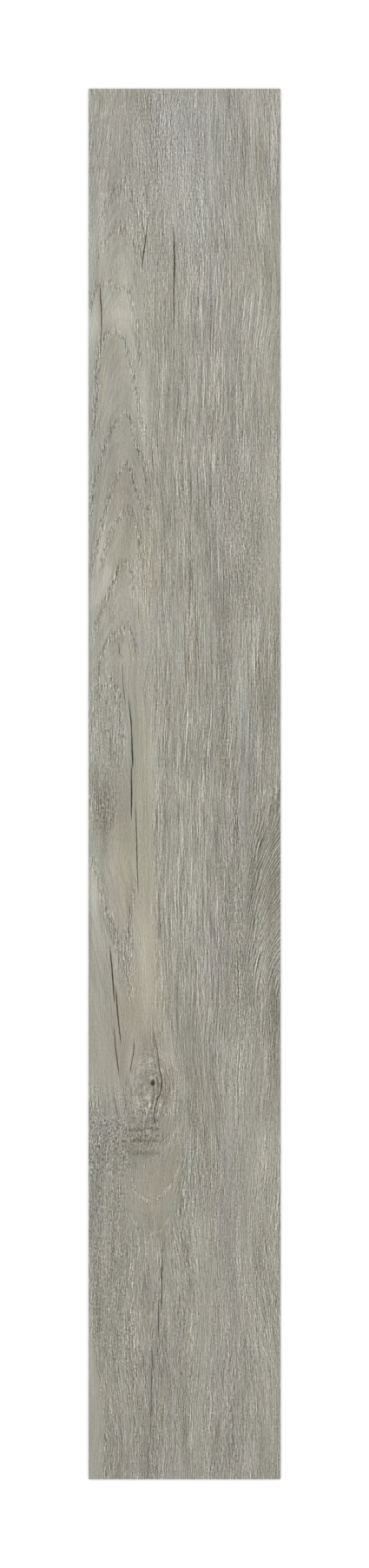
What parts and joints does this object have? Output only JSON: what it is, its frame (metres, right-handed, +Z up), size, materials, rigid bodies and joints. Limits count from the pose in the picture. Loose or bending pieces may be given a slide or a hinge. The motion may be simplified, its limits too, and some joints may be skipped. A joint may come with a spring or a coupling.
{
  "type": "vinyl floor plank",
  "caption": "Flat rectangular glue-down vinyl floor plank with square butt edges and an embossed weathered grey-beige oak print on its face.",
  "frame": {"origin": "centre of the underside, on the floor", "axes": "+X across the width, +Y along the length and the grain, +Z up out of the wood-look face"},
  "size_m": [0.1684, 1.2192, 0.0025],
  "materials": {
    "printed_vinyl": "matte"
  },
  "bodies": {
    "root": {"plank": "printed_vinyl"}
  },
  "joints": []
}
